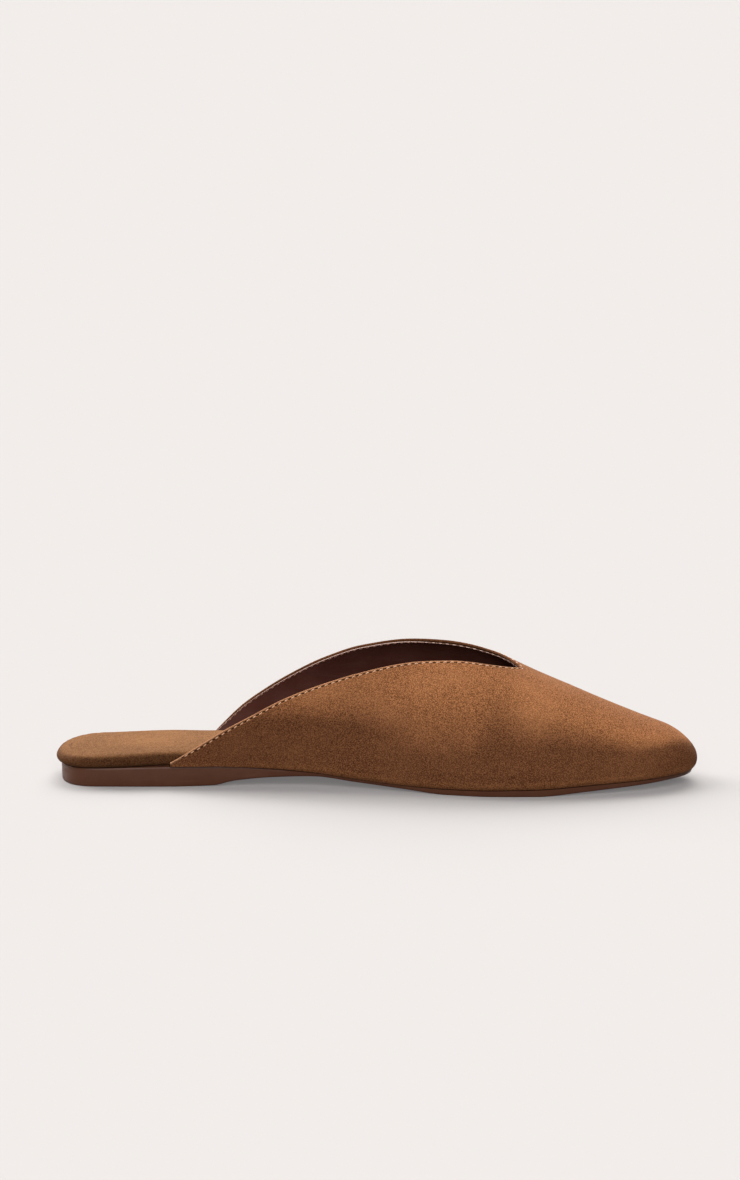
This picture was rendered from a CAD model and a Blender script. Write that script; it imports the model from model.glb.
"""A flat suede mule for the left foot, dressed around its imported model.

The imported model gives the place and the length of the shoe. The pieces here stand on the same last: a moulded
sole, a padded footbed, a lasted suede upper with a folded and stitched topline, and a smooth lining.
"""

import logging
import math
from collections.abc import Callable, Sequence
from dataclasses import dataclass, field
from enum import Enum

import bpy
import numpy as np
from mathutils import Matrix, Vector

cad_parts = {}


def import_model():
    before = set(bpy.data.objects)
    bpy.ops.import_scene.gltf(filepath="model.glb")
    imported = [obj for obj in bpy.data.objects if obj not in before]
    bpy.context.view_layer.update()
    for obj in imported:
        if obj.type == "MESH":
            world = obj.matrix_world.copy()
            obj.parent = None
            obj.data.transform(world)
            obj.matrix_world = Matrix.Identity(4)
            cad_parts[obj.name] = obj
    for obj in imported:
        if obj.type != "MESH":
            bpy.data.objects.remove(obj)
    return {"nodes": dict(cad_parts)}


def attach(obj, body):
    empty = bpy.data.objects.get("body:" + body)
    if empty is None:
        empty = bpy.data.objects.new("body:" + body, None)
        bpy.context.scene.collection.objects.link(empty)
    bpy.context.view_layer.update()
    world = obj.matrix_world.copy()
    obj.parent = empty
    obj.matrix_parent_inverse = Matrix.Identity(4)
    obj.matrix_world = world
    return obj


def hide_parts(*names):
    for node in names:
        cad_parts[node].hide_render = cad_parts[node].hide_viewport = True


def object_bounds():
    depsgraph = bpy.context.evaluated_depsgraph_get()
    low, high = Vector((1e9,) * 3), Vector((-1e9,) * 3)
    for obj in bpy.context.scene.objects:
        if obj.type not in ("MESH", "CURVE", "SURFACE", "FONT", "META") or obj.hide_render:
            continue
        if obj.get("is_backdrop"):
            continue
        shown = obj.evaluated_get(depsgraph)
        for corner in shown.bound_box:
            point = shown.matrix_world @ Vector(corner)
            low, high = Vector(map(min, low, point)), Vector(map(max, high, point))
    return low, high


MM = 0.001
TINY = 1e-9
BODY = "root"
LOG = logging.getLogger("mule")


class Side(Enum):
    """The two sides of a left foot, as the sign of Y."""

    MEDIAL = -1
    LATERAL = 1


class Face(Enum):
    """The two faces of the upper's wall that a row of stitches shows on, as the sign of the way out of it."""

    OUTSIDE = -1
    INSIDE = 1


# --- Lines and shares ---


def ramp(values: np.ndarray, low: float, high: float) -> np.ndarray:
    """How far values are on their way from low to high, from 0 to 1."""
    return np.clip((values - low) / (high - low), 0, 1)


def eased(share: np.ndarray) -> np.ndarray:
    """A share from 0 to 1, softened at both ends."""
    return share * share * (3 - 2 * share)


def reach_along(points: np.ndarray) -> np.ndarray:
    """The distance along a line from its first point to each of its points."""
    return np.concatenate([[0], np.cumsum(np.linalg.norm(np.diff(points, axis=0), axis=1))])


def sampled(at: np.ndarray | float, reach: np.ndarray, points: np.ndarray) -> np.ndarray:
    """Points of a line at distances along it, where `reach` tells each point's own distance."""
    return np.stack([np.interp(at, reach, column) for column in points.T], axis=-1)


# --- The last ---


@dataclass(frozen=True)
class Curve:
    """A smooth curve through points that never overshoots them (monotone cubic)."""

    xs: np.ndarray
    ys: np.ndarray

    def _slopes(self) -> np.ndarray:
        """The curve's slope at each point."""
        chords = np.diff(self.ys) / np.diff(self.xs)
        product = chords[:-1] * chords[1:]
        total = np.where(product > 0, chords[:-1] + chords[1:], 1.0)
        inner = np.where(product > 0, 2 * product / total, 0.0)
        return np.concatenate([chords[:1], inner, chords[-1:]])

    def __call__(self, x: np.ndarray | float) -> np.ndarray:
        """The curve's height.

        Args:
            x: Places along the shoe.

        Returns:
            The height at each place.
        """
        at = np.clip(x, self.xs[0], self.xs[-1])
        i = np.clip(np.searchsorted(self.xs, at) - 1, 0, len(self.xs) - 2)
        slopes = self._slopes()
        span = self.xs[i + 1] - self.xs[i]
        t = (at - self.xs[i]) / span
        rise = self.ys[i + 1] - self.ys[i]
        before = slopes[i] * span - rise
        after = rise - slopes[i + 1] * span
        return self.ys[i] + t * rise + t * (1 - t) * (before * (1 - t) + after * t)


class Table:
    """Rows with named columns, the first of them the place along the shoe."""

    def __init__(self, columns: str, rows: Sequence[Sequence[float]]) -> None:
        """Keeps the rows column by column.

        Args:
            columns: The columns' names, parted by blanks.
            rows: One row of numbers for each place.
        """
        self.columns = dict(zip(columns.split(), np.array(rows, float).T))

    def curve(self, column: str) -> Curve:
        """The smooth curve through one column."""
        return Curve(self.columns["x"], self.columns[column])


@dataclass(frozen=True)
class EndRound:
    """How an end is rounded: a superelliptic quarter, `depth` millimetres long."""

    depth: float
    power: float

    def at(self, inside: np.ndarray | float) -> np.ndarray:
        """The share of the full width at a distance inside the end."""
        t = np.clip(1 - inside / self.depth, 0, 1)
        return (1 - t**self.power) ** (1 / self.power)

    def stations(self, steps: int) -> np.ndarray:
        """Distances inside the end that lie evenly round it, from 0 to the depth."""
        turn = np.linspace(0, math.pi / 2, steps + 1)
        return self.depth * (1 - np.cos(turn) ** (2 / self.power))


# Half-widths of the widest line on either side of the long axis, before the ends are rounded (mm).
PLAN = Table(
    "x medial lateral",
    [
        (0, 26.0, 27.0), (20, 26.8, 27.6), (40, 26.2, 28.8), (60, 24.6, 30.2),
        (80, 23.6, 31.8), (100, 24.2, 33.6), (120, 27.4, 35.8), (140, 32.4, 38.2),
        (158, 37.4, 39.6), (174, 40.0, 39.4), (190, 39.4, 37.0), (206, 36.2, 33.0),
        (222, 31.0, 28.0), (238, 25.0, 22.6), (255, 18.5, 17.0),
    ],
)

# Underside of the sole, feather line, height and side place of the crest, fullness of the section (mm).
PROFILE = Table(
    "x underside feather crest crest_side fullness",
    [
        (0, 0, 7.6, 38, 0, 2.1), (20, 0, 7.8, 40, 0, 2.1),
        (48, 0, 8.4, 44, -0.5, 2.1), (64, 0.4, 8.4, 46.5, -1, 2.05),
        (72, 2.2, 8.1, 48, -1.3, 2.0), (88, 3.8, 7.4, 51.2, -2, 1.92),
        (104, 4.4, 6.1, 54.3, -2.4, 1.86), (120, 2.9, 4.3, 56.8, -2.5, 1.81),
        (140, 1.2, 2.9, 58.3, -2.3, 1.77), (156, 0, 2.6, 57.1, -2.1, 1.73),
        (192, 0, 3.1, 43.35, -2.4, 1.68), (210, 1.2, 3.9, 35.45, -2.0, 1.7),
        (230, 2.5, 4.6, 27.4, -1.3, 1.77), (243, 3.3, 5.0, 22.5, -0.6, 1.88),
        (255, 3.8, 5.2, 18, 0, 2.0),
    ],
)

# Share of the girth, from feather line to feather line, that each side of the upper covers.
THROAT_X = 185.0
THROAT_SHARE = 0.455
MEDIAL_TOPLINE = Table(
    "x share",
    [
        (47.5, 0.015), (60, 0.089), (70, 0.145), (80, 0.191),
        (92, 0.242), (106, 0.284), (122, 0.319), (140, 0.347),
        (158, 0.367), (171, 0.388), (180, 0.419), (THROAT_X, THROAT_SHARE),
    ],
)
LATERAL_TOPLINE = Table(
    "x share",
    [
        (58.5, 0.016), (65, 0.082), (72, 0.147), (80, 0.204),
        (92, 0.278), (106, 0.348), (122, 0.397), (140, 0.414),
        (158, 0.4145), (169, 0.428), (177, 0.467), (THROAT_X, 1 - THROAT_SHARE),
    ],
)

# How strongly the upper tucks in under its widest line.
TUCK = Table("x share", [(0, 0.25), (60, 0.25), (115, 1), (255, 1)])

# Footbed: thickness, and how far its edge lies inside the widest line on either side (mm).
FOOTBED = Table(
    "x thickness medial lateral",
    [
        (0, 4.3, 0, 0), (16, 4.8, 0, 0), (32, 5.2, 0.9, 0.4),
        (46, 5.4, 2.6, 1.4), (58, 5.4, 2.9, 2.7), (115, 4.6, 3.4, 3.4),
        (255, 3.4, 3.4, 3.4),
    ],
)


@dataclass
class Last:
    """The form of the foot that every piece is built on.

    Sizes are in millimetres, X from the back of the footbed to the tip of the toe, Y to the lateral side.
    """

    low: Vector
    high: Vector
    heel_end: EndRound = EndRound(17, 2.4)
    toe_end: EndRound = EndRound(26, 2.25)
    toe_drop: EndRound = EndRound(14, 2.2)
    tuck_radius: float = 5.0
    tuck_angle: float = math.radians(50)
    tangent_step: float = 0.02
    sweep_steps: int = 401

    def __post_init__(self) -> None:
        """Takes the length from the frame's box and places the last in it."""
        self.length = (self.high.x - self.low.x) / MM
        self.tuck_rise = self.tuck_radius * math.sin(self.tuck_angle)
        self.medial, self.lateral = PLAN.curve("medial"), PLAN.curve("lateral")
        self.underside, self.feather = PROFILE.curve("underside"), PROFILE.curve("feather")
        self.crest, self.crest_side = PROFILE.curve("crest"), PROFILE.curve("crest_side")
        self.fullness, self.tuck = PROFILE.curve("fullness"), TUCK.curve("share")
        widest = float(PLAN.columns["medial"].max())
        self.shift = np.array([self.low.x / MM, self.low.y / MM + widest, 0.0])

    def placed(self, points: np.ndarray) -> np.ndarray:
        """Points of the last, moved into the part's frame and given in metres."""
        return (points + self.shift) * MM

    def half_width(self, x: np.ndarray, sign: np.ndarray | float) -> np.ndarray:
        """Half-width of the widest line on the side that the sign of Y names."""
        ends = self.heel_end.at(x) * self.toe_end.at(self.length - x)
        return ends * np.where(np.asarray(sign) < 0, self.medial(x), self.lateral(x))

    def widest_line(self, x: np.ndarray, sign: np.ndarray | float) -> tuple[np.ndarray, np.ndarray]:
        """The plan's widest line.

        Args:
            x: Places along the shoe.
            sign: The side, as the sign of Y.

        Returns:
            The points in plan, and the outward direction at each.
        """
        x = np.asarray(x, float)
        before = np.maximum(x - self.tangent_step, 0)
        after = np.minimum(x + self.tangent_step, self.length)
        rise = self.half_width(after, sign) - self.half_width(before, sign)
        out = np.stack([-rise, sign * (after - before)], -1)
        out /= np.linalg.norm(out, axis=-1, keepdims=True)
        out = np.where((x <= 0)[..., None], [-1.0, 0.0], out)
        out = np.where((x >= self.length)[..., None], [1.0, 0.0], out)
        return np.stack([x, sign * self.half_width(x, sign)], -1), out

    def section(self, x: np.ndarray) -> tuple[np.ndarray, np.ndarray, np.ndarray]:
        """The crest's side place, the widest line's height, and how far the crest rises above that."""
        top = self.crest_side(x) * self.toe_end.at(self.length - x)
        widest = self.feather(x) + self.tuck_rise
        return top, widest, (self.crest(x) - widest) * self.toe_drop.at(self.length - x)

    def point(self, x: np.ndarray, sign: np.ndarray | float, turn: np.ndarray) -> np.ndarray:
        """Points of the outer face.

        Args:
            x: Places along the shoe.
            sign: The side, as the sign of Y.
            turn: Place in the section: -1 at the feather line, 0 on the widest line, 1 on the crest.

        Returns:
            The points, in millimetres.
        """
        at, out = self.widest_line(x, sign)
        top, widest, height = self.section(x)
        rise = np.clip(turn, 0, 1) * math.pi / 2
        fall = np.clip(-turn, 0, 1) * self.tuck_angle
        inset = self.tuck_radius * (1 - np.cos(fall)) * self.tuck(x)
        y = top + (at[..., 1] - top) * np.cos(rise) - out[..., 1] * inset
        z = widest + height * np.sin(rise) ** (2 / self.fullness(x)) - self.tuck_radius * np.sin(fall)
        return np.stack([at[..., 0] - out[..., 0] * inset, y, z], -1)

    def over(self, plan: np.ndarray) -> np.ndarray:
        """Lifts points in plan up to the outer face, above the widest line.

        Args:
            plan: X and Y of each point.

        Returns:
            The points, in millimetres.
        """
        x, y = plan[..., 0], plan[..., 1]
        top, widest, height = self.section(x)
        sign = np.where(y < top, -1.0, 1.0)
        reach = sign * self.half_width(x, sign) - top
        flat = np.abs(reach) < TINY
        cosine = np.clip((y - top) / np.where(flat, 1.0, reach), 0, 1)
        sine = np.sqrt(1 - np.where(flat, 1.0, cosine) ** 2)
        return np.stack([x, y, widest + height * sine ** (2 / self.fullness(x))], -1)

    def sweep_at(self, x: float, share: float) -> float:
        """Where a share of the girth lies in the section.

        Args:
            x: Place along the shoe.
            share: Share of the girth, from the medial to the lateral feather line.

        Returns:
            -1 at the medial feather line, 1 on the crest, 3 at the lateral feather line.
        """
        sweep = np.linspace(-1, 3, self.sweep_steps)
        sign = np.where(sweep <= 1, -1.0, 1.0)
        turn = np.where(sweep <= 1, sweep, 2 - sweep)
        points = self.point(np.full_like(sweep, x), sign, turn)
        reach = reach_along(points)
        return float(np.interp(share * reach[-1], reach, sweep))


# --- Mesh making ---

SEAM = 1e-6  # points that lie nearer to each other than this are one (m)


def deselect_all() -> None:
    """Leaves edit mode and deselects every object."""
    if bpy.context.object and bpy.context.object.mode != "OBJECT":
        bpy.ops.object.mode_set(mode="OBJECT")
    bpy.ops.object.select_all(action="DESELECT")


def take_up(piece: bpy.types.Object) -> None:
    """Selects one piece alone and makes it the active one."""
    deselect_all()
    piece.select_set(True)
    bpy.context.view_layer.objects.active = piece


def close_up(piece: bpy.types.Object, seams: bool) -> None:
    """Turns a form's faces outwards.

    Args:
        piece: The form.
        seams: Whether its seams are merged and its open ends filled first.
    """
    take_up(piece)
    bpy.ops.object.mode_set(mode="EDIT")
    bpy.ops.mesh.select_all(action="SELECT")
    if seams:
        bpy.ops.mesh.remove_doubles(threshold=SEAM)
        bpy.ops.mesh.fill_holes(sides=0)
        bpy.ops.mesh.select_all(action="SELECT")
    bpy.ops.mesh.normals_make_consistent(inside=False)
    bpy.ops.object.mode_set(mode="OBJECT")


def wrapped_grid(name: str, places: np.ndarray) -> bpy.types.Object:
    """Adds a grid and wraps it into a closed form, so that each row's last point joins its first.

    Args:
        name: The object's name.
        places: Where the grid's points go, rows by columns by 3, in metres.

    Returns:
        The mesh object, its seams merged, its open ends filled and its faces turned outwards.
    """
    places = np.concatenate([places, places[:, :1]], axis=1)
    rows, columns = places.shape[:2]
    deselect_all()
    bpy.ops.mesh.primitive_grid_add(x_subdivisions=columns - 1, y_subdivisions=rows - 1, size=1)
    piece = bpy.context.object
    piece.name = piece.data.name = name
    piece.data.vertices.foreach_set("co", places.reshape(-1).astype(np.float32))
    while piece.data.uv_layers:
        piece.data.uv_layers.remove(piece.data.uv_layers[0])
    close_up(piece, seams=True)
    return piece


def shade(piece: bpy.types.Object, angle: float) -> None:
    """Shades a piece smooth, with edges sharper than the angle, in degrees, kept crisp."""
    take_up(piece)
    bpy.ops.object.shade_smooth_by_angle(angle=math.radians(angle))


def read(layer: bpy.types.bpy_prop_collection, name: str) -> np.ndarray:
    """Reads the vector that each point of a mesh has in a layer."""
    values = np.zeros(len(layer) * 3, np.float32)
    layer.foreach_get(name, values)
    return values.reshape(-1, 3)


def mark(piece: bpy.types.Object, name: str, values: np.ndarray) -> None:
    """Stores a value for each point of a piece, for its finish to read."""
    layer = piece.data.attributes.new(name, "FLOAT", "POINT")
    layer.data.foreach_set("value", values.astype(np.float32))


@dataclass(frozen=True)
class NapLie:
    """The way a piece's nap was last brushed: faces that lean this way look paler, and the others deeper.

    Both sides are brushed alike. `low` and `high` are the lean at which the paleness begins and is full,
    `under` is the paleness of faces turned under, and `crown` what the very top loses.
    """

    lean: tuple[float, float, float]
    low: float
    high: float
    under: float = 0.3
    under_zone: tuple[float, float] = (0.08, 0.33)
    crown: float = 0.45
    crown_zone: tuple[float, float] = (0.78, 0.94)

    def paleness(self, piece: bpy.types.Object) -> np.ndarray:
        """How pale the nap looks at each point of a piece."""
        normals = read(piece.data.vertex_normals, "vector")
        normals[:, 1] = np.abs(normals[:, 1])
        up = normals[:, 2]
        lean = normals @ (np.array(self.lean) / np.linalg.norm(self.lean))
        pale = eased(ramp(lean, self.low, self.high)) * (1 - self.crown * ramp(up, *self.crown_zone))
        return np.maximum(pale, self.under * ramp(-up, *self.under_zone))


UPPER_LIE = NapLie((-0.55, -0.28, 0.80), -0.04, 0.24)
FOOTBED_LIE = NapLie((0.5, -0.3, 0.8), 0.3, 0.8, under=0.0, crown=0.0)


def hand_in(piece: bpy.types.Object, slot: str, *nodes: str) -> None:
    """Puts a finished piece on the shoe's body.

    Args:
        piece: The finished piece.
        slot: The record's material slot that it takes its finish from.
        *nodes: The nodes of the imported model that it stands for.
    """
    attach(piece, BODY)
    if nodes:
        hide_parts(*nodes)
    LOG.info("%s: %d faces", piece.name, len(piece.data.polygons))


# --- Finishes ---

Colour = tuple[float, float, float]
Zone = tuple[float, float]
Socket = bpy.types.NodeSocket


@dataclass(frozen=True)
class Noise:
    """A layer of noise: how wide its features are (m), how detailed and rough, and how it is drawn out."""

    size: float
    detail: float
    rough: float
    drawn: tuple[float, float, float] = (1.0, 1.0, 1.0)


class Bench:
    """Adds nodes to one tree and joins them."""

    def __init__(self, tree: bpy.types.NodeTree) -> None:
        """Keeps the tree."""
        self.tree = tree

    def put(self, socket: Socket, value: object) -> None:
        """Puts a value, or another node's output, into a socket."""
        if isinstance(value, Socket):
            self.tree.links.new(value, socket)
        elif socket.type == "RGBA":
            socket.default_value = (*value, 1.0)
        else:
            socket.default_value = value

    def feed(self, node: bpy.types.Node, inputs: dict) -> None:
        """Fills a node's sockets, by name or number."""
        for key, value in inputs.items():
            self.put(node.inputs[key], value)

    def add(self, kind: str, inputs: dict | None = None, **settings: object) -> bpy.types.Node:
        """Adds a node.

        Args:
            kind: The node's type.
            inputs: What goes into its sockets, by name or number: a value, or another node's socket.
            **settings: The node's own settings.

        Returns:
            The node.
        """
        node = self.tree.nodes.new(kind)
        for key, value in settings.items():
            setattr(node, key, value)
        self.feed(node, inputs or {})
        return node

    def place(self) -> Socket:
        """The place on the piece, in metres."""
        return self.add("ShaderNodeTexCoord").outputs["Object"]

    def noise(self, place: Socket, layer: Noise) -> Socket:
        """A layer of noise, from 0 to 1."""
        drawn = self.add("ShaderNodeMapping", {"Vector": place, "Scale": layer.drawn}).outputs["Vector"]
        inputs = {"Vector": drawn, "Scale": 1 / layer.size, "Detail": layer.detail, "Roughness": layer.rough}
        return self.add("ShaderNodeTexNoise", inputs).outputs["Fac"]

    def maths(self, operation: str, a: object, b: object) -> Socket:
        """One sum on two values."""
        return self.add("ShaderNodeMath", {0: a, 1: b}, operation=operation).outputs[0]

    def weighed(self, a: Socket, b: Socket, share: float) -> Socket:
        """Two values added, the first at its share and the second at the rest."""
        return self.maths("ADD", self.maths("MULTIPLY", a, share), self.maths("MULTIPLY", b, 1 - share))

    def spread(self, value: Socket, zone: Zone, to: Zone = (0.0, 1.0)) -> Socket:
        """A value, mapped smoothly from one range to another."""
        inputs = {"Value": value, "From Min": zone[0], "From Max": zone[1], "To Min": to[0], "To Max": to[1]}
        return self.add("ShaderNodeMapRange", inputs, interpolation_type="SMOOTHSTEP").outputs["Result"]

    def mix(self, amount: object, a: object, b: object, blend: str = "MIX") -> Socket:
        """Two colours, mixed."""
        node = self.add("ShaderNodeMix", data_type="RGBA", blend_type=blend)
        sockets = {socket.identifier: socket for socket in node.inputs}
        for name, value in (("Factor_Float", amount), ("A_Color", a), ("B_Color", b)):
            self.put(sockets[name], value)
        return next(socket for socket in node.outputs if socket.identifier == "Result_Color")

    def tint(self, colour: object, other: object, pattern: Socket, zone: Zone, amount: object) -> Socket:
        """A colour, turned towards another where a pattern lies in its zone.

        Args:
            colour: The colour.
            other: The other colour.
            pattern: The pattern's value.
            zone: Where the pattern begins to show, and where it shows fully.
            amount: How much of it shows.

        Returns:
            The new colour.
        """
        return self.mix(self.maths("MULTIPLY", self.spread(pattern, zone), amount), colour, other)

    def bump(self, height: Socket, depth: float, strength: float = 1.0) -> Socket:
        """The normal of a surface that is raised by a pattern, `depth` metres deep."""
        inputs = {"Strength": strength, "Distance": depth, "Height": height}
        return self.add("ShaderNodeBump", inputs).outputs["Normal"]


@dataclass
class Effect:
    """A shader node group that more than one finish uses."""

    name: str
    inputs: dict[str, object]
    outputs: dict[str, str]
    fill: Callable[[Bench, dict[str, Socket]], dict[str, Socket]]
    made: bpy.types.NodeTree | None = field(default=None, init=False)

    def tree(self) -> bpy.types.NodeTree:
        """The group's tree, made once."""
        if self.made is None:
            tree = bpy.data.node_groups.new(self.name, "ShaderNodeTree")
            for name, value in self.inputs.items():
                kind = "NodeSocketColor" if isinstance(value, tuple) else "NodeSocketFloat"
                socket = tree.interface.new_socket(name=name, in_out="INPUT", socket_type=kind)
                socket.default_value = (*value, 1.0) if isinstance(value, tuple) else value
            for name, kind in self.outputs.items():
                tree.interface.new_socket(name=name, in_out="OUTPUT", socket_type=kind)
            bench = Bench(tree)
            given = bench.add("NodeGroupInput").outputs
            put = bench.add("NodeGroupOutput").inputs
            for name, value in self.fill(bench, given).items():
                bench.put(put[name], value)
            self.made = tree
        return self.made

    def outlets(self, bench: Bench, **values: object) -> dict[str, Socket]:
        """Adds the group to a material.

        Args:
            bench: The material's bench.
            **values: What goes into its inputs.

        Returns:
            The group's outputs.
        """
        return bench.add("ShaderNodeGroup", values, node_tree=self.tree()).outputs


@dataclass(frozen=True)
class NapPattern:
    """The nap of suede: short fibres, specks of light and dark between them, tufts and brushed patches."""

    specks: Noise = Noise(0.00032, 1.0, 0.5)
    fibres: Noise = Noise(0.0003, 1.0, 0.5, (0.5, 1.0, 1.2))
    tufts: Noise = Noise(0.0022, 2.0, 0.6)
    brushed: Noise = Noise(0.021, 3.0, 0.55, (0.6, 1.0, 1.0))
    drift: Noise = Noise(0.07, 1.0, 0.5)
    speck_share: float = 0.6
    fine_height: float = 0.75
    light_zone: Zone = (0.49, 0.575)
    dark_zone: Zone = (0.51, 0.43)
    tuft_zone: Zone = (0.42, 0.62)
    brushed_zone: Zone = (0.42, 0.70)
    drift_zone: Zone = (0.55, 0.30)

    def fill(self, bench: Bench, given: dict[str, Socket]) -> dict[str, Socket]:
        """Fills the group.

        Args:
            bench: The group's bench.
            given: The group's inputs.

        Returns:
            What the group puts out.
        """
        place = bench.place()
        tufts = bench.noise(place, self.tufts)
        brushed = bench.noise(place, self.brushed)
        drift = bench.noise(place, self.drift)
        specks, fibres = bench.noise(place, self.specks), bench.noise(place, self.fibres)
        fine = bench.weighed(specks, fibres, self.speck_share)
        light, dark, brushing = given["Light"], given["Dark"], given["Brushing"]
        colour = bench.tint(given["Colour"], light, fine, self.light_zone, given["Speckle"])
        colour = bench.tint(colour, dark, fine, self.dark_zone, given["Speckle"])
        colour = bench.tint(colour, light, tufts, self.tuft_zone, given["Mottle"])
        colour = bench.tint(colour, light, brushed, self.brushed_zone, brushing)
        colour = bench.tint(colour, dark, drift, self.drift_zone, brushing)
        return {"Colour": colour, "Height": bench.weighed(fine, tufts, self.fine_height)}


@dataclass(frozen=True)
class GrainPattern:
    """Fine grain of a smooth surface, with softly clouded tone and faint rubbed streaks."""

    pores: Noise = Noise(0.0008, 3.0, 0.6)
    clouds: Noise = Noise(0.012, 4.0, 0.6)
    streaks: Noise = Noise(0.004, 3.0, 0.6, (0.25, 1.0, 2.2))
    scratches: Noise = Noise(0.0016, 2.0, 0.5, (0.12, 1.0, 3.0))
    scratch_share: float = 0.6
    cloud_zone: Zone = (0.35, 0.68)
    rubbed_zone: Zone = (0.86, 1.12)

    def fill(self, bench: Bench, given: dict[str, Socket]) -> dict[str, Socket]:
        """Fills the group.

        Args:
            bench: The group's bench.
            given: The group's inputs.

        Returns:
            What the group puts out.
        """
        place = bench.place()
        clouds, streaks = bench.noise(place, self.clouds), bench.noise(place, self.streaks)
        scratches = bench.maths("MULTIPLY", bench.noise(place, self.scratches), self.scratch_share)
        rubbed = bench.maths("ADD", streaks, scratches)
        light = given["Light"]
        colour = bench.tint(given["Colour"], light, clouds, self.cloud_zone, given["Clouding"])
        colour = bench.tint(colour, light, rubbed, self.rubbed_zone, given["Rubbing"])
        return {"Colour": colour, "Height": bench.noise(place, self.pores), "Streaks": streaks}


NAP = Effect(
    "suede_nap",
    {
        "Colour": (0.3, 0.14, 0.07),
        "Light": (0.4, 0.2, 0.1),
        "Dark": (0.1, 0.05, 0.03),
        "Speckle": 0.6,
        "Mottle": 0.1,
        "Brushing": 0.2,
    },
    {"Colour": "NodeSocketColor", "Height": "NodeSocketFloat"},
    NapPattern().fill,
)
GRAIN = Effect(
    "fine_grain",
    {"Colour": (0.1, 0.05, 0.03), "Light": (0.2, 0.1, 0.07), "Clouding": 0.4, "Rubbing": 0.3},
    {"Colour": "NodeSocketColor", "Height": "NodeSocketFloat", "Streaks": "NodeSocketFloat"},
    GrainPattern().fill,
)


def new_material(name: str) -> tuple[bpy.types.Material, Bench, bpy.types.Node]:
    """Makes a material with one plain surface shader.

    Args:
        name: The material's name.

    Returns:
        The material, a bench on its tree, and its surface shader.
    """
    material = bpy.data.materials.new(name)
    material.use_nodes = True
    return material, Bench(material.node_tree), material.node_tree.nodes["Principled BSDF"]


@dataclass(frozen=True)
class Suede:
    """Suede with a short nap: `fresh` is what deepens its colour where the nap doesn't look faded."""

    name: str
    colour: Colour
    light: Colour
    dark: Colour
    rim: Colour
    fresh: Colour = (0.42, 0.40, 0.42)
    speckle: float = 0.68
    mottle: float = 0.08
    brushing: float = 0.22
    nap_depth: float = 0.00025
    roughness: float = 0.92
    specular: float = 0.015
    sheen: float = 0.04
    sheen_roughness: float = 0.35
    sheen_tint: Colour = (1.0, 0.62, 0.38)

    def material(self) -> bpy.types.Material:
        """The finish: deeper where `faded` is 0, and paler where the piece has a `rim`."""
        material, bench, surface = new_material(self.name)
        nap = NAP.outlets(
            bench,
            Colour=self.colour,
            Light=self.light,
            Dark=self.dark,
            Speckle=self.speckle,
            Mottle=self.mottle,
            Brushing=self.brushing,
        )
        faded, rim = (
            bench.add("ShaderNodeAttribute", attribute_name=name).outputs["Fac"] for name in ("faded", "rim")
        )
        fresh = bench.mix(1.0, nap["Colour"], self.fresh, "MULTIPLY")
        colour = bench.mix(rim, bench.mix(faded, fresh, nap["Colour"]), self.rim)
        inputs = {
            "Base Color": colour,
            "Normal": bench.bump(nap["Height"], self.nap_depth),
            "Roughness": self.roughness,
            "Specular IOR Level": self.specular,
            "Sheen Weight": self.sheen,
            "Sheen Roughness": self.sheen_roughness,
            "Sheen Tint": self.sheen_tint,
        }
        bench.feed(surface, inputs)
        return material


@dataclass(frozen=True)
class Smooth:
    """A smooth satin finish with fine grain: lining, moulded rubber or a cut edge."""

    name: str
    colour: Colour
    light: Colour
    roughness: float
    specular: float = 0.4
    clouding: float = 0.4
    rubbing: float = 0.3
    grain_depth: float = 0.00005
    smoother: float = 0.07
    rougher: float = 0.09
    streak_zone: Zone = (0.35, 0.65)

    def material(self) -> bpy.types.Material:
        """The finish: a little smoother and rougher along its streaks."""
        material, bench, surface = new_material(self.name)
        grain = GRAIN.outlets(
            bench,
            Colour=self.colour,
            Light=self.light,
            Clouding=self.clouding,
            Rubbing=self.rubbing,
        )
        rough = (self.roughness - self.smoother, self.roughness + self.rougher)
        inputs = {
            "Base Color": grain["Colour"],
            "Roughness": bench.spread(grain["Streaks"], self.streak_zone, rough),
            "Normal": bench.bump(grain["Height"], self.grain_depth),
            "Specular IOR Level": self.specular,
        }
        bench.feed(surface, inputs)
        return material


@dataclass(frozen=True)
class Thread:
    """Twisted sewing thread, or the dark of a needle hole."""

    name: str
    colour: Colour
    shade: Colour
    specular: float = 0.3
    roughness: float = 0.6
    bands: float = 750.0
    slant: float = math.radians(40)
    ply_zone: Zone = (0.1, 0.7)
    ply_depth: float = 0.00006
    ply_strength: float = 0.6

    def material(self) -> bpy.types.Material:
        """The finish: the twist's plies as slanted bands."""
        material, bench, surface = new_material(self.name)
        turned = {"Vector": bench.place(), "Rotation": (0.0, self.slant, 0.0)}
        slanted = bench.add("ShaderNodeMapping", turned).outputs["Vector"]
        wave = bench.add("ShaderNodeTexWave", {"Vector": slanted, "Scale": self.bands}).outputs["Fac"]
        inputs = {
            "Base Color": bench.mix(bench.spread(wave, self.ply_zone), self.shade, self.colour),
            "Normal": bench.bump(wave, self.ply_depth, self.ply_strength),
            "Roughness": self.roughness,
            "Specular IOR Level": self.specular,
        }
        bench.feed(surface, inputs)
        return material


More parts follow.
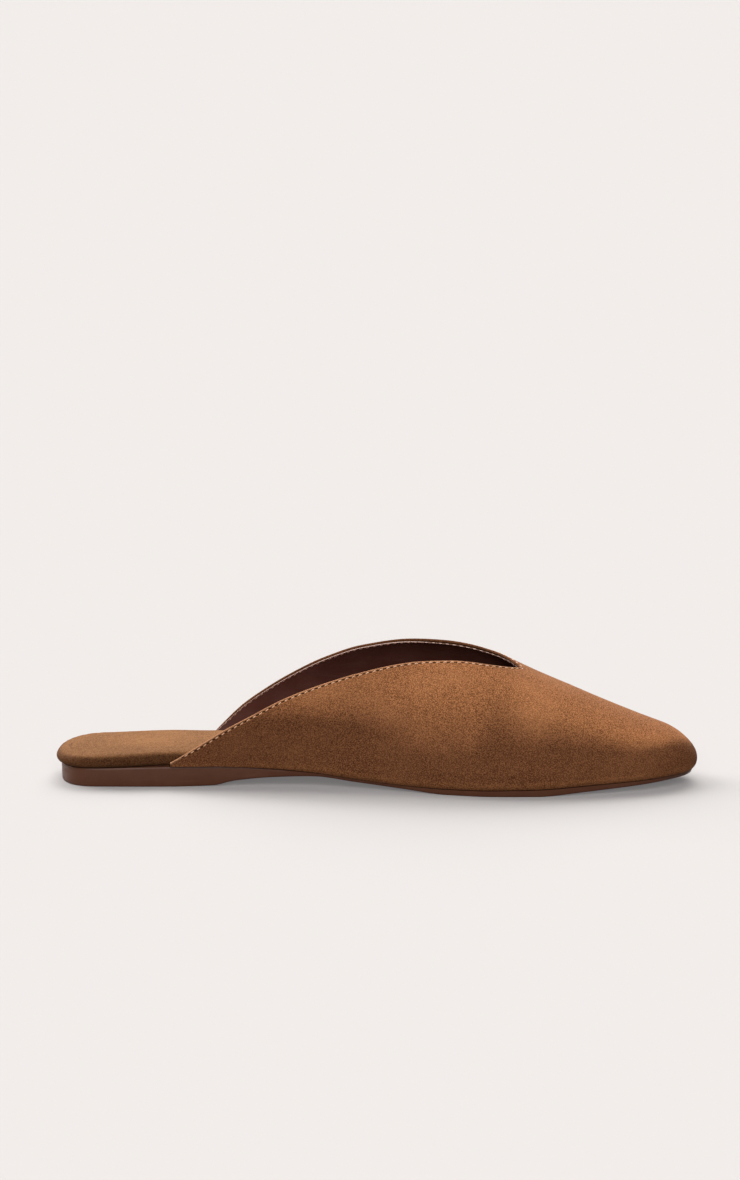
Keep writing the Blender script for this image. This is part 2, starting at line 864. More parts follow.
UPPER_SUEDE = Suede(
    "upper_suede",
    colour=(0.183, 0.070, 0.0270),
    light=(0.370, 0.160, 0.066),
    dark=(0.046, 0.0155, 0.006),
    rim=(0.36, 0.20, 0.115),
)
FOOTBED_SUEDE = Suede(
    "footbed_suede",
    colour=(0.098, 0.041, 0.0148),
    light=(0.178, 0.082, 0.032),
    dark=(0.030, 0.012, 0.0045),
    rim=(0.17, 0.09, 0.05),
    fresh=(0.52, 0.49, 0.54),
    speckle=0.75,
    mottle=0.25,
    brushing=0.25,
)
LINING = Smooth("lining_smooth", (0.056, 0.0170, 0.0120), (0.094, 0.037, 0.028), roughness=0.5, specular=0.25)
LINING_EDGE = Smooth("lining_raw_edge", (0.62, 0.43, 0.37), (0.70, 0.53, 0.46), roughness=0.8, specular=0.2)
RUBBER = Smooth(
    "sole_rubber",
    (0.052, 0.0178, 0.0086),
    (0.075, 0.0295, 0.0155),
    roughness=0.42,
    specular=0.14,
    clouding=0.35,
    rubbing=0.4,
    grain_depth=0.00004,
)
TAN_THREAD = Thread("thread_tan", colour=(0.48, 0.27, 0.155), shade=(0.31, 0.165, 0.09))
BROWN_THREAD = Thread("thread_brown", colour=(0.20, 0.095, 0.062), shade=(0.11, 0.05, 0.033))
NEEDLE_DARK = Thread("needle_hole", colour=(0.020, 0.009, 0.005), shade=(0.012, 0.005, 0.003), specular=0.0)


# --- Sole and footbed ---


@dataclass(frozen=True)
class Ring:
    """One line round a slab: how far inside the widest line, and how high as a share of the thickness."""

    inset: float
    share: float
    lift: float = 0.0


Rings = tuple[tuple[float, float, float], ...]


@dataclass
class Slab:
    """A flat form with the plan of the last, built from rings and crossed over on both faces."""

    last: Last
    rings: Sequence[Ring]
    bottom: Callable[[np.ndarray], np.ndarray]
    top: Callable[[np.ndarray], np.ndarray]
    draw_in: Callable[[np.ndarray, Side], np.ndarray]
    heel_steps: int = 26
    toe_steps: int = 30
    middle_step: float = 2.4
    crossings: int = 22
    crown_fullness: float = 1.4

    def stations(self) -> np.ndarray:
        """Places along the shoe, closer together round both ends."""
        heel = self.last.heel_end.stations(self.heel_steps)
        toe = self.last.length - self.last.toe_end.stations(self.toe_steps)[::-1]
        steps = round((toe[0] - heel[-1]) / self.middle_step)
        return np.concatenate([heel, np.linspace(heel[-1], toe[0], steps + 1)[1:-1], toe])

    def side_rings(self, side: Side) -> np.ndarray:
        """The rings' points on one side, stations by rings by 3, in millimetres."""
        x = self.stations()
        at, out = self.last.widest_line(x, float(side.value))
        made = []
        for ring in self.rings:
            plan = at - out * (self.draw_in(x, side) + ring.inset)[:, None]
            low, high = self.bottom(plan[:, 0]), self.top(plan[:, 0])
            made.append(np.column_stack([plan, low + (high - low) * ring.share + ring.lift]))
        return np.stack(made, axis=1)

    def places(self, crown: float = 0.0) -> np.ndarray:
        """The whole form, as rows round the shoe.

        Args:
            crown: How far the middle of the top rises above its edges.

        Returns:
            Stations by points round the section by 3, in millimetres.
        """
        medial, lateral = self.side_rings(Side.MEDIAL), self.side_rings(Side.LATERAL)
        across = np.linspace(0, 1, self.crossings + 1)[1:-1, None]
        top = lateral[:, None, -1] + (medial[:, None, -1] - lateral[:, None, -1]) * across
        bottom = medial[:, None, 0] + (lateral[:, None, 0] - medial[:, None, 0]) * across
        width = np.linalg.norm(medial[:, -1] - lateral[:, -1], axis=1)
        bulge = crown * (1 - (2 * across[:, 0] - 1) ** 2)
        top[..., 2] += bulge[None, :] * np.minimum(width / width.max() * self.crown_fullness, 1)[:, None]
        return np.concatenate([top, medial[:, ::-1], bottom, lateral], axis=1)


@dataclass
class Outsole:
    """The moulded unit sole: low heel with a small breast, arched waist, thin forefoot edge and toe spring.

    `wall` gives the rings above the rounded lower edge, up to the bead along the upper's foot.
    """

    last: Last
    inset: float = 2.0
    draft: float = 0.2
    edge_radius: float = 0.7
    edge_turns: tuple[float, ...] = (0, 22, 45, 68, 90)
    flat_from: float = 2.4
    glue_line: float = 0.02
    crisp: float = 50.0
    wall: Rings = (
        (0.08, 0.55, 0.0),
        (0.0, 0.86, 0.0),
        (0.02, 1.0, -0.42),
        (0.16, 1.0, -0.30),
        (0.9, 1.0, -0.26),
        (1.6, 1.0, -0.02),
    )

    def build(self) -> None:
        """Models and dresses the sole."""
        inner = self.inset + self.draft
        radius = self.edge_radius
        rounding = [
            Ring(inner + radius * (1 - math.sin(turn)), 0.0, radius * (1 - math.cos(turn)))
            for turn in np.radians(self.edge_turns)
        ]
        wall = [Ring(self.inset + inset, share, lift) for inset, share, lift in self.wall]
        slab = Slab(
            self.last,
            [Ring(inner + self.flat_from, 0.0), *rounding, *wall],
            bottom=self.last.underside,
            top=lambda x: self.last.feather(x) - self.glue_line,
            draw_in=lambda x, side: np.zeros_like(x),
        )
        piece = wrapped_grid("outsole_unit", self.last.placed(slab.places()))
        piece.data.materials.append(RUBBER.material())
        shade(piece, self.crisp)
        hand_in(piece, "sole", "outsole")


@dataclass(frozen=True)
class Pucker:
    """The small puckers of a cover that is pulled round the heel: two waves that run along the edge."""

    height: float = 0.07
    length: float = 5.5
    second: float = 0.6
    second_pitch: float = 2.1
    second_shift: float = 1.3
    reach: float = 34.0
    inside: float = 1.5
    breadth: float = 6.0
    full_above: float = 3.0

    def on(self, last: Last, places: np.ndarray) -> np.ndarray:
        """Raises the puckers on a form.

        Args:
            last: The last that it is built on.
            places: The form's points, in millimetres.

        Returns:
            The points with the puckers.
        """
        x, y, z = places[..., 0], places[..., 1], places[..., 2]
        along = np.arctan2(y, last.heel_end.depth - x) * float(last.medial(0.0))
        wave = np.sin(along * 2 * math.pi / self.length)
        wave = wave + self.second * np.sin(along * self.second_pitch + self.second_shift)
        inside = np.minimum(last.half_width(np.clip(x, 0, last.length), -1.0) - np.abs(y), x)
        near = np.exp(-((np.clip(inside, 0, None) - self.inside) ** 2) / self.breadth)
        raised = np.clip(1 - x / self.reach, 0, 1) * np.clip((z - last.feather(x)) / self.full_above, 0, 1)
        moved = places.copy()
        moved[..., 2] += self.height * wave * near * raised
        return moved


@dataclass
class Footbed:
    """The padded footbed: foam and board under a suede cover, crowned, with a soft rolled edge."""

    last: Last
    crown: float = 0.55
    fill: float = 0.75
    pucker: Pucker = Pucker()
    crisp: float = 60.0
    edge: Rings = (
        (3.6, 0.0, 0.02),
        (2.0, 0.0, 0.02),
        (1.15, 0.05, 0.0),
        (0.55, 0.14, 0.0),
        (0.18, 0.26, 0.0),
        (0.0, 0.42, 0.0),
        (0.12, 0.56, 0.0),
        (0.45, 0.69, 0.0),
        (0.98, 0.80, 0.0),
        (1.75, 0.895, 0.0),
        (2.7, 0.955, 0.0),
        (4.0, 0.99, 0.0),
        (5.6, 1.0, 0.06),
    )

    def build(self) -> None:
        """Models and dresses the footbed."""
        slab = Slab(
            self.last,
            [Ring(*row) for row in self.edge],
            bottom=self.last.feather,
            top=lambda x: self.last.feather(x) + FOOTBED.curve("thickness")(x),
            draw_in=lambda x, side: FOOTBED.curve(side.name.lower())(x),
        )
        places = self.pucker.on(self.last, slab.places(self.crown))
        piece = wrapped_grid("footbed_pad", self.last.placed(places))
        mark(piece, "faded", FOOTBED_LIE.paleness(piece))
        piece.data.materials.append(FOOTBED_SUEDE.material())
        shade(piece, self.crisp)
        hand_in(piece, "footbed", "insole")


# --- Upper ---

# Lines of the skin's grid, counted from the topline.
RIM_END = 4
STITCH_LINE = 8
FOLD_END = 12
WALL_START = 15


@dataclass(frozen=True)
class Hollow:
    """A soft trough in the upper, or a ridge where its depth is negative."""

    centre: tuple[float, float, float]
    reach: tuple[float, float, float]
    depth: float

    def at(self, points: np.ndarray) -> np.ndarray:
        """How deep it is at each point."""
        away = (points - np.array(self.centre)) / np.array(self.reach)
        return self.depth * np.exp(-0.5 * np.sum(away**2, axis=-1))


HOLLOWS = (
    Hollow((100, -25, 25), (22, 16, 8), -2.0),
    Hollow((84, -24, 12), (18, 12, 5), 0.5),
    Hollow((148, -33, 15), (20, 10, 6), -0.4),
    Hollow((110, 34, 22), (22, 14, 9), -0.8),
    Hollow((150, 38, 13), (18, 10, 6), -0.3),
    Hollow((196, -4, 42), (5, 22, 10), 0.16),
    Hollow((206, -3, 38), (5, 24, 10), -0.10),
    Hollow((233, 0, 26), (9, 12, 8), 0.14),
)


@dataclass
class Skin:
    """The lasted surface of the upper as a grid of ribs.

    The ribs run from the topline to the feather line, and follow each other from the medial rear corner over
    the throat, where they fan out over the toe, to the lateral rear corner. `band` and `foot_zone` are the
    distances from either end of a rib at which its lines lie.
    """

    last: Last
    rim: float = 0.5
    rim_turns: tuple[float, ...] = (90, 67.5, 45, 22.5, 0)
    band: tuple[float, ...] = (0.62, 0.78, 0.92, 1.05, 1.18, 1.32, 1.6, 2.1, 2.9, 4.2)
    foot_zone: tuple[float, ...] = (12.5, 10, 8, 6.5, 5.3, 4.3, 3.4, 2.6, 1.9, 1.3, 0.8, 0.4, 0.0)
    middle_steps: int = 38
    open_step: float = 1.45
    fan_ribs: int = 76
    tip_round: float = 1.0
    lead_from: float = 118.0
    lead: float = 19.0
    slant_probe: float = 1.0
    least_slant: float = 0.55
    short_rib: float = 8.0
    short_rest: float = 18.0
    edge_points: int = 240
    toe_points: int = 160
    side_points: int = 120
    under_points: int = 16
    rib_points: int = 200

    def __post_init__(self) -> None:
        """Lays the ribs and works out the grid and its inward directions."""
        plan, turn, self.sign, self.foot = self._rib_ends()
        ribs = [self._rib(*ends) for ends in zip(plan, turn, self.sign, self.foot)]
        along = np.gradient(np.array([rib[0] for rib in ribs]), axis=0)
        along /= np.linalg.norm(along, axis=1, keepdims=True)
        lengths, rows = [], []
        for rib, way in zip(ribs, along):
            reach = reach_along(rib)
            start = sampled(min(self.slant_probe, reach[-1] / 2), reach, rib) - rib[0]
            slant = np.linalg.norm(np.cross(start / np.linalg.norm(start), way))
            lengths.append(reach[-1])
            rows.append(sampled(self._spacing(reach[-1], max(slant, self.least_slant)), reach, rib))
        self.lengths = np.array(lengths)
        self.grid = np.array(rows)
        for hollow in HOLLOWS:
            self.grid += self._inward() * hollow.at(self.grid)[..., None]
        self.inward = self._inward()

    def _half_edge(self, side: Side, table: Table) -> tuple[np.ndarray, np.ndarray, np.ndarray, np.ndarray]:
        """One half of the topline, from its rear corner to the throat.

        Args:
            side: The side of the foot.
            table: The topline's share of the girth.

        Returns:
            The upper ends of its ribs in plan, their turns seen from that side's feather line, where their
            feet are along the shoe, and the throat in plan.
        """
        share = table.curve("share")
        turns, points = [], []
        for x in np.linspace(table.columns["x"][0], THROAT_X, self.edge_points):
            covered = float(share(x))
            sweep = self.last.sweep_at(x, covered if side is Side.MEDIAL else 1 - covered)
            turn = sweep if side is Side.MEDIAL else 2 - sweep
            here = float(side.value) if turn <= 1 else -float(side.value)
            points.append(self.last.point(np.array(x), here, np.array(min(turn, 2 - turn))))
            turns.append(turn)
        reach = reach_along(np.array(points))
        end = reach[-1] - self.tip_round
        even = np.linspace(0, end, round(end / self.open_step) + 1)
        plan = sampled(even, reach, np.array(points)[:, :2])
        foot = plan[:, 0] + self.lead * eased(ramp(plan[:, 0], self.lead_from, THROAT_X))
        return plan, np.interp(even, reach, turns), foot, points[-1][:2]

    def _rib_ends(self) -> tuple[np.ndarray, np.ndarray, np.ndarray, np.ndarray]:
        """Both ends of every rib.

        Returns:
            The topline's points in plan, their turns, and the side and the place of each rib's foot.
        """
        plan_m, turn_m, foot_m, throat = self._half_edge(Side.MEDIAL, MEDIAL_TOPLINE)
        plan_l, turn_l, foot_l, _ = self._half_edge(Side.LATERAL, LATERAL_TOPLINE)
        t = np.linspace(0, 1, self.fan_ribs + 1)[1:-1, None]
        fan = (1 - t) ** 2 * plan_m[-1] + 2 * t * (1 - t) * throat + t**2 * plan_l[-1]
        fan_turn = turn_m[-1] + (turn_l[-1] - turn_m[-1]) * t[:, 0]
        fan_foot, fan_sign = self._toe_feet(foot_m[-1], foot_l[-1], t[:, 0])
        plan = np.concatenate([plan_m, fan, plan_l[::-1]])
        turn = np.concatenate([turn_m, fan_turn, turn_l[::-1]])
        foot = np.concatenate([foot_m, fan_foot, foot_l[::-1]])
        sign = np.concatenate([-np.ones(len(plan_m)), fan_sign, np.ones(len(plan_l))])
        return plan, turn, sign, foot

    def _toe_feet(self, medial: float, lateral: float, shares: np.ndarray) -> tuple[np.ndarray, np.ndarray]:
        """Feet evenly spaced round the toe.

        Args:
            medial: Where the fan starts on the medial side.
            lateral: Where it ends on the lateral side.
            shares: Shares of the way round.

        Returns:
            The place along the shoe and the side of each foot.
        """
        toe = self.last.length - self.last.toe_end.stations(self.toe_points)[::-1]
        there, back = (
            np.concatenate([np.linspace(start, toe[0], self.side_points)[:-1], toe])
            for start in (medial, lateral)
        )
        x = np.concatenate([there, back[::-1][1:]])
        sign = np.concatenate([-np.ones(len(there)), np.ones(len(back) - 1)])
        reach = reach_along(np.stack([x, sign * self.last.half_width(x, sign)], axis=1))
        goal = shares * reach[-1]
        return np.interp(goal, reach, x), np.where(goal <= reach[len(there) - 1], -1.0, 1.0)

    def _rib(self, plan: np.ndarray, turn: float, sign: float, foot: float) -> np.ndarray:
        """One rib, finely, from the topline to the feather line.

        Args:
            plan: X and Y of its upper end.
            turn: The upper end's turn from the foot's side.
            sign: The side of the foot.
            foot: Where the rib's foot is along the shoe.

        Returns:
            The rib's points, in millimetres.
        """
        low = np.linspace(-1, min(turn, 0), self.under_points)
        under = self.last.point(np.full_like(low, foot), sign, low)
        if turn <= 0:
            return under[::-1]
        rise = turn * math.pi / 2
        steps = np.linspace(0, 1, self.rib_points)[1:]
        share = ((1 - np.cos(rise * steps)) / (1 - math.cos(rise)))[:, None]
        start = np.array([foot, sign * float(self.last.half_width(np.array(foot), sign))])
        over = self.last.over(start + (plan - start) * share)
        return np.concatenate([under, over])[::-1]

    def _spacing(self, length: float, slant: float) -> np.ndarray:
        """Distances along a rib from the topline at which the grid has its points.

        Args:
            length: The rib's length.
            slant: Sine of the angle between the rib and the topline.

        Returns:
            The distances: close together along the topline and in the tuck.
        """
        band = np.array([*(self.rim * (1 - np.sin(np.radians(self.rim_turns)))), *self.band])
        band = band / slant * min(1.0, length * slant / self.short_rib)
        foot = np.array(self.foot_zone) * min(1.0, (length - band[-1]) / self.short_rest)
        middle = np.linspace(band[-1], length - foot[0], self.middle_steps + 1)[1:-1]
        return np.concatenate([band, middle, length - foot])

    def _inward(self) -> np.ndarray:
        """The direction into the shoe at each point of the grid."""
        normal = np.cross(np.gradient(self.grid, axis=0), np.gradient(self.grid, axis=1))
        return normal / np.linalg.norm(normal, axis=2, keepdims=True)

    def layer(self, column: int | np.ndarray, depth: float | np.ndarray) -> np.ndarray:
        """A line along the grid, moved into the wall.

        Args:
            column: Which line, counted from the topline; between two lines where it isn't whole.
            depth: How far in, everywhere or at each rib.

        Returns:
            A point for each rib, in millimetres.
        """
        before = np.floor(column).astype(int) * np.ones(len(self.grid), int)
        after = np.minimum(before + 1, self.grid.shape[1] - 1)
        share = (column - before)[:, None]
        rib = np.arange(len(self.grid))
        point = self.grid[rib, before] * (1 - share) + self.grid[rib, after] * share
        inward = self.inward[rib, before] * (1 - share) + self.inward[rib, after] * share
        return point + inward * (depth * np.ones(len(self.grid)))[:, None]


@dataclass
class Upper:
    """The suede outside of the upper, folded in along the topline and turned in under the feather line.

    `flange` gives how far in and how high above the feather line the turned-in edge's three lines lie.
    """

    skin: Skin
    fold: float = 1.0
    fold_ease: float = 0.08
    thickness: float = 0.8
    wall_ease: float = 0.06
    groove: float = 0.12
    flange: tuple[tuple[float, float], ...] = ((1.2, 0.35), (1.2, -0.1), (0.45, -0.04))
    rim_from: float = 2.1
    rubbed: float = 0.3
    ribs_at_once: int = 40
    crisp: float = 60.0

    def build(self) -> None:
        """Models and dresses the suede."""
        skin, last = self.skin, self.skin.last
        count = skin.grid.shape[1]
        groove = dict.fromkeys((STITCH_LINE - 1, STITCH_LINE + 1), self.groove / 2)
        groove[STITCH_LINE] = self.groove
        radius = self.fold / 2
        arc = [radius * (1 - math.cos(turn)) for turn in np.radians(skin.rim_turns[::-1])]
        ease, wall = self.fold - self.fold_ease, self.thickness + self.wall_ease
        _, out = last.widest_line(skin.foot, skin.sign)
        foot = skin.grid[:, -1]
        level = last.feather(foot[:, 0])
        lines = [
            *(skin.layer(j, groove.get(j, 0.0)) for j in range(count - 1, RIM_END, -1)),
            *(skin.layer(RIM_END - i, depth) for i, depth in enumerate(arc)),
            *(skin.layer(RIM_END - i, self.fold - depth) for i, depth in reversed([*enumerate(arc)][:-1])),
            *(skin.layer(j, self.fold - groove.get(j, 0.0) / 2) for j in range(RIM_END + 1, FOLD_END + 1)),
            *(skin.layer(FOLD_END + i, depth) for i, depth in ((1, ease), (2, wall))),
            *(skin.layer(j, self.thickness) for j in range(WALL_START, count)),
            *(np.column_stack([foot[:, :2] - out * into, level + lift]) for into, lift in self.flange),
        ]
        piece = wrapped_grid("upper_suede", last.placed(np.stack(lines, axis=1)))
        points = read(piece.data.vertices, "co")
        mark(piece, "faded", UPPER_LIE.paleness(piece) * (1 - self.near_rim(points, skin.sign > 0)))
        mark(piece, "rim", self.rubbed * self.near_rim(points, skin.sign < 0))
        piece.data.materials.append(UPPER_SUEDE.material())
        shade(piece, self.crisp)
        hand_in(piece, "upper", "upper")

    def near_rim(self, points: np.ndarray, ribs: np.ndarray) -> np.ndarray:
        """How near points are to the folded rim.

        Args:
            points: The points, in metres.
            ribs: Which ribs' rim counts.

        Returns:
            1 on the fold, going down to 0 below it.
        """
        edge = self.skin.last.placed(self.skin.layer(0, self.fold / 2))[ribs]
        nearest = np.full(len(points), np.inf)
        for start in range(0, len(edge), self.ribs_at_once):
            away = points[:, None] - edge[None, start : start + self.ribs_at_once]
            nearest = np.minimum(nearest, np.linalg.norm(away, axis=2).min(axis=1))
        reach = self.fold / 2 * MM
        return ramp(nearest, self.rim_from * reach, reach)


@dataclass
class Lining:
    """The smooth lining, glued to the inside and cut off just under the topline's stitches.

    Round the throat its edge hangs lower and stands off the suede. `cut_lines` and `hang_lines` say how much
    of that each line keeps, on lines counted from the cut and from the topline.
    """

    skin: Skin
    back: float = 1.02
    thickness: float = 0.28
    cut_line: tuple[float, float] = (5.3, 9.3)
    stand_off: float = 0.25
    throat_from: float = 126.0
    throat_to: float = 160.0
    bevel: float = 0.06
    cut_lines: tuple[tuple[float, float], ...] = ((0.35, 1.0), (1.4, 0.9), (2.6, 0.7))
    hang_lines: tuple[tuple[int, float], ...] = ((12, 0.45), (13, 0.2), (14, 0.0))
    sunk: float = 0.12
    foot_lines: int = 4
    edge_share: float = 0.3
    edge_finer: int = 10
    grid_corners: int = 4
    crisp: float = 50.0

    def build(self) -> None:
        """Models and dresses the lining."""
        skin = self.skin
        loose = eased(ramp(skin.grid[:, 0, 0], self.throat_from, self.throat_to))
        last_line = skin.grid.shape[1] - self.foot_lines
        cut = self.cut_line[0] + (self.cut_line[1] - self.cut_line[0]) * loose
        face = self.back + self.thickness
        away = self.stand_off * loose
        after_cut, kept = self.cut_lines[1]
        lines = [
            skin.layer(cut, self.back + away),
            skin.layer(cut, face - self.bevel + away),
            *(skin.layer(cut + on, face + share * away) for on, share in self.cut_lines),
            *(skin.layer(j, face + share * away) for j, share in self.hang_lines),
            *(skin.layer(j, face) for j in range(WALL_START, last_line + 1)),
            *(skin.layer(j, self.back - self.sunk) for j in range(last_line, WALL_START - 1, -1)),
            *(skin.layer(j, self.back + share * away) for j, share in reversed(self.hang_lines)),
            skin.layer(cut + after_cut, self.back + kept * away),
        ]
        piece = wrapped_grid("lining_skin", skin.last.placed(np.stack(lines, axis=1)))
        piece.data.materials.append(LINING.material())
        piece.data.materials.append(LINING_EDGE.material())
        self.mark_cut(piece, skin.layer(cut, self.back + self.thickness / 2 + away))
        shade(piece, self.crisp)
        hand_in(piece, "lining")

    def mark_cut(self, piece: bpy.types.Object, line: np.ndarray) -> None:
        """Gives the cut edge along the topline and both rear ends their own finish.

        Args:
            piece: The lining.
            line: The middle of the cut edge at each rib, in millimetres.
        """
        fine = np.linspace(0, len(line) - 1, len(line) * self.edge_finer)
        middle = self.skin.last.placed(sampled(fine, np.arange(len(line)), line))
        near = self.edge_share * self.thickness * MM
        for polygon in piece.data.polygons:
            away = np.linalg.norm(middle - np.array(polygon.center), axis=1).min()
            if len(polygon.vertices) > self.grid_corners or away < near:
                polygon.material_index = 1


@dataclass
class Stitching:
    """A row of stitches along the topline: short lengths of thread between needle holes."""

    skin: Skin
    face: Face
    outside_depth: float = 0.08
    inside_depth: float = 1.40
    shortest_rib: float = 4.0
    probe: float = 0.8
    pitch: float = 2.8
    gap: float = 1.15
    thread: float = 0.21
    thread_sides: int = 6
    thread_cuts: int = 3
    thread_slant: float = math.radians(9)
    taper: float = 0.35
    lift: float = 0.5
    dip: float = 1.3
    hole: tuple[float, float, float] = (0.74, 0.31, 0.12)
    hole_sides: int = 10
    hole_rings: int = 4
    hole_slant: float = math.radians(-10)
    crisp: float = 80.0

    def frames(self, shift: float) -> list[tuple[np.ndarray, np.ndarray]]:
        """Places along the row, one pitch apart.

        Args:
            shift: How far the first one is from the start, as a share of the pitch.

        Returns:
            The point, and the directions along, across and out of the wall, at each place.
        """
        skin = self.skin
        depth = self.outside_depth if self.face is Face.OUTSIDE else self.inside_depth
        kept = skin.lengths > self.shortest_rib
        line, out = skin.layer(STITCH_LINE, depth)[kept], skin.inward[kept, STITCH_LINE] * self.face.value
        reach = reach_along(line)
        count = int(reach[-1] / self.pitch)
        goals = (np.arange(count) + shift) * reach[-1] / count
        alongs = sampled(goals + self.probe, reach, line) - sampled(goals - self.probe, reach, line)
        made = []
        for point, up, along in zip(sampled(goals, reach, line), sampled(goals, reach, out), alongs):
            along = along / np.linalg.norm(along)
            across = np.cross(up, along)
            across /= np.linalg.norm(across)
            made.append((point, np.stack([along, across, np.cross(along, across)])))
        return made

    def stitch(self) -> bpy.types.Object:
        """One stitch: a thin cylinder, cut across and bent down into its two needle holes."""
        deselect_all()
        length = self.pitch - self.gap
        bpy.ops.mesh.primitive_cylinder_add(vertices=self.thread_sides, radius=self.thread, depth=length)
        sample = bpy.context.object
        bpy.ops.object.mode_set(mode="EDIT")
        bpy.ops.mesh.select_all(action="DESELECT")
        bpy.ops.object.mode_set(mode="OBJECT")
        for edge in sample.data.edges:
            a, b = (sample.data.vertices[i].co.z for i in edge.vertices)
            edge.select = abs(a - b) > length / 2
        bpy.ops.object.mode_set(mode="EDIT")
        bpy.ops.mesh.select_mode(type="EDGE")
        bpy.ops.mesh.subdivide(number_cuts=self.thread_cuts)
        bpy.ops.object.mode_set(mode="OBJECT")
        for vertex in sample.data.vertices:
            x, y, z = vertex.co
            bend = (abs(z) / (length / 2)) ** 3
            slim = 1 - self.taper * bend
            vertex.co = (z, x * slim, y * slim + self.thread * (self.lift - self.dip * bend))
        return sample

    def needle_hole(self) -> bpy.types.Object:
        """One needle hole: a small dark oval."""
        deselect_all()
        bpy.ops.mesh.primitive_uv_sphere_add(segments=self.hole_sides, ring_count=self.hole_rings, radius=1)
        sample = bpy.context.object
        for vertex in sample.data.vertices:
            vertex.co = vertex.co * Vector(self.hole)
        return sample

    def repeated(self, name: str, sample: bpy.types.Object, slant: float, shift: float) -> bpy.types.Object:
        """Repeats a sample along the row as one mesh.

        Args:
            name: The piece's name.
            sample: One of them, modelled along X, which is used up.
            slant: Its angle to the row, about the way out of the wall.
            shift: How far the first one is from the row's start, as a share of the pitch.

        Returns:
            The mesh object.
        """
        c, s = math.cos(slant), math.sin(slant)
        points = read(sample.data.vertices, "co") @ np.array([[c, s, 0], [-s, c, 0], [0, 0, 1]])
        faces = [list(polygon.vertices) for polygon in sample.data.polygons]
        bpy.data.objects.remove(sample)
        frames = self.frames(shift)
        places = np.concatenate([at + points @ ways for at, ways in frames])
        repeats = [[v + i * len(points) for v in face] for i in range(len(frames)) for face in faces]
        mesh = bpy.data.meshes.new(name)
        mesh.from_pydata(self.skin.last.placed(places).tolist(), [], repeats)
        piece = bpy.data.objects.new(name, mesh)
        bpy.context.scene.collection.objects.link(piece)
        close_up(piece, seams=False)
        shade(piece, self.crisp)
        return piece

    def build(self) -> None:
        """Models and dresses the row."""
        outside = self.face is Face.OUTSIDE
        name = f"topstitch_{self.face.name.lower()}"
        threads = self.repeated(name, self.stitch(), self.thread_slant, shift=0.5)
        threads.data.materials.append((TAN_THREAD if outside else BROWN_THREAD).material())
        hand_in(threads, "thread")
        if outside:
            holes = self.repeated("needle_holes", self.needle_hole(), self.hole_slant, shift=0.0)
            holes.data.materials.append(NEEDLE_DARK.material())
            hand_in(holes, "upper")


# --- Studio ---


@dataclass(frozen=True)
class Sun:
    """A broad, even light: its height above the floor, and its heading from +Y towards +X, in degrees."""

    name: str
    strength: float
    height: float
    heading: float
    breadth: float = 45.0

    def build(self) -> None:
        """Adds the light."""
        light = bpy.data.lights.new(self.name, "SUN")
        light.energy = self.strength
        light.angle = math.radians(self.breadth)
        lamp = bpy.data.objects.new(self.name, light)
        up, turn = math.radians(self.height), math.radians(self.heading)
        way = Vector((math.cos(up) * math.sin(turn), math.cos(up) * math.cos(turn), math.sin(up)))
        lamp.rotation_euler = way.to_track_quat("Z", "Y").to_euler()
        bpy.context.scene.collection.objects.link(lamp)


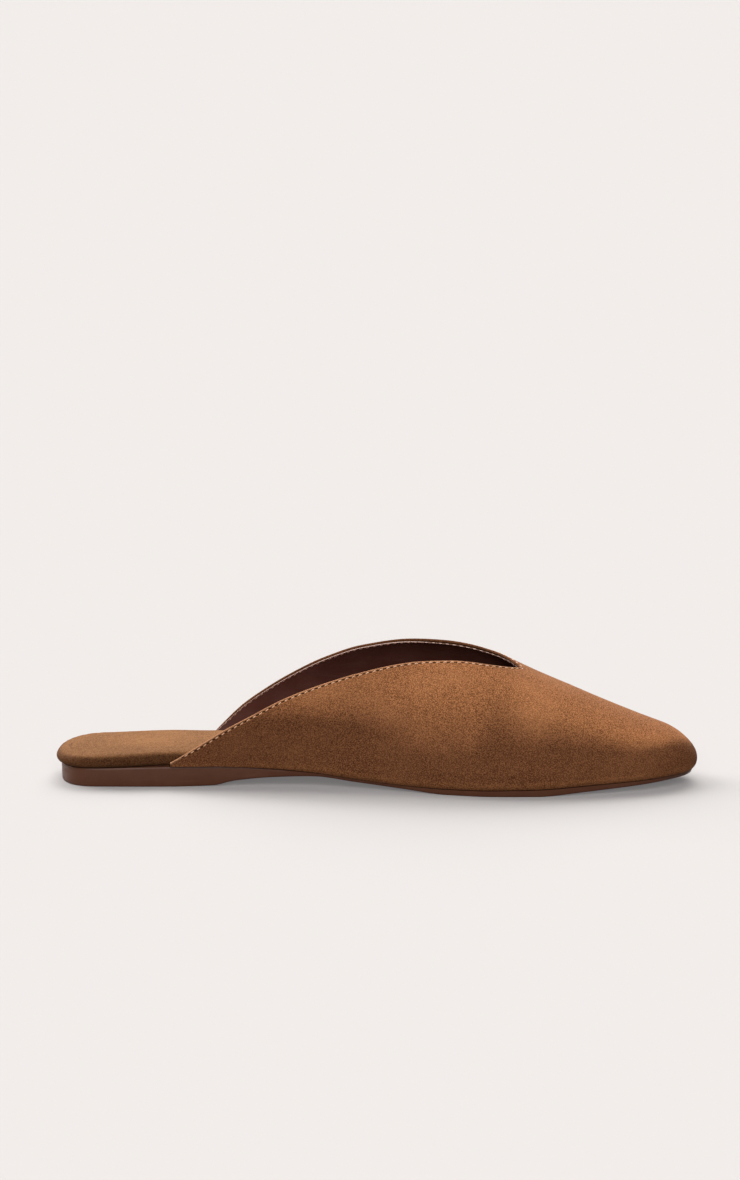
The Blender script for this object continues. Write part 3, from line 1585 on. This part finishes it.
@dataclass
class Studio:
    """A pale seamless floor that glows a little, three broad lights behind the shoe and one before it."""

    floor_size: float = 60.0
    floor_colour: Colour = (0.2164, 0.2063, 0.1988)
    floor_glow: Colour = (0.152, 0.1437, 0.146)
    floor_tooth: Noise = Noise(0.0012, 2.0, 0.6)
    tooth_depth: float = 0.00003
    tooth_strength: float = 0.2
    sky_strength: float = 0.0
    suns: tuple[Sun, ...] = (
        Sun("back_light_high", 2.8, 60.0, 0.0),
        Sun("back_light", 5.6, 36.0, 0.0),
        Sun("heel_light", 5.5, 34.0, -60.0),
        Sun("front_light", 3.8, 30.0, 180.0),
    )
    camera_at: tuple[float, float, float] = (0.0681, -1.5764, 0.3241)
    camera_aim: tuple[float, float, float] = (-0.0027, 0.003, 0.075)
    lens: float = 123.07
    sensor: float = 36.0
    sight: float = 200.0

    def camera(self) -> None:
        """Places the camera, level, on the medial side and a little above the shoe."""
        data = bpy.data.cameras.new("camera")
        data.sensor_fit = "VERTICAL"
        data.sensor_height = self.sensor
        data.sensor_width = self.sensor
        data.lens = self.lens
        data.clip_end = self.sight
        camera = bpy.data.objects.new("camera", data)
        camera.location = self.camera_at
        way = Vector(self.camera_aim) - Vector(self.camera_at)
        camera.rotation_euler = way.to_track_quat("-Z", "Y").to_euler()
        bpy.context.scene.collection.objects.link(camera)
        bpy.context.scene.camera = camera

    def floor(self) -> None:
        """Lays the floor at the height the shoe stands on."""
        deselect_all()
        bpy.ops.mesh.primitive_plane_add(size=self.floor_size, location=(0, 0, 0))
        floor = bpy.context.object
        floor.name = "floor"
        material, bench, surface = new_material("floor_paper")
        tooth = bench.noise(bench.place(), self.floor_tooth)
        inputs = {
            "Base Color": self.floor_colour,
            "Normal": bench.bump(tooth, self.tooth_depth, self.tooth_strength),
            "Roughness": 1.0,
            "Specular IOR Level": 0.0,
            "Emission Color": self.floor_glow,
            "Emission Strength": 1.0,
        }
        bench.feed(surface, inputs)
        floor.data.materials.append(material)
        floor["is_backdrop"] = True

    def sky(self) -> None:
        """Darkens the sky, so that only the suns and the floor give light."""
        world = bpy.data.worlds.new("studio")
        world.use_nodes = True
        world.node_tree.nodes["Background"].inputs["Strength"].default_value = self.sky_strength
        bpy.context.scene.world = world

    def build(self) -> None:
        """Sets up camera, floor, lights and plain colour handling."""
        self.camera()
        self.floor()
        for sun in self.suns:
            sun.build()
        self.sky()
        bpy.context.scene.view_settings.view_transform = "Standard"


def as_lists(box: Sequence[Sequence[float]]) -> list[list[float]]:
    """A box's corners as plain lists of numbers."""
    return [[float(value) for value in corner] for corner in box]


def main(frame: dict) -> None:
    """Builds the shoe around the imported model.

    Args:
        frame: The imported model's bodies, nodes, joints and record.
    """
    cad_box = as_lists(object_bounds())
    LOG.info("frame: %s", ", ".join(sorted(frame["nodes"])))
    Studio().build()
    last = Last(*(Vector(corner) for corner in cad_box))
    Outsole(last).build()
    Footbed(last).build()
    skin = Skin(last)
    Upper(skin).build()
    Lining(skin).build()
    for face in Face:
        Stitching(skin, face).build()


if __name__ == "__main__":
    logging.basicConfig(level=logging.INFO, format="%(message)s")
    main(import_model())
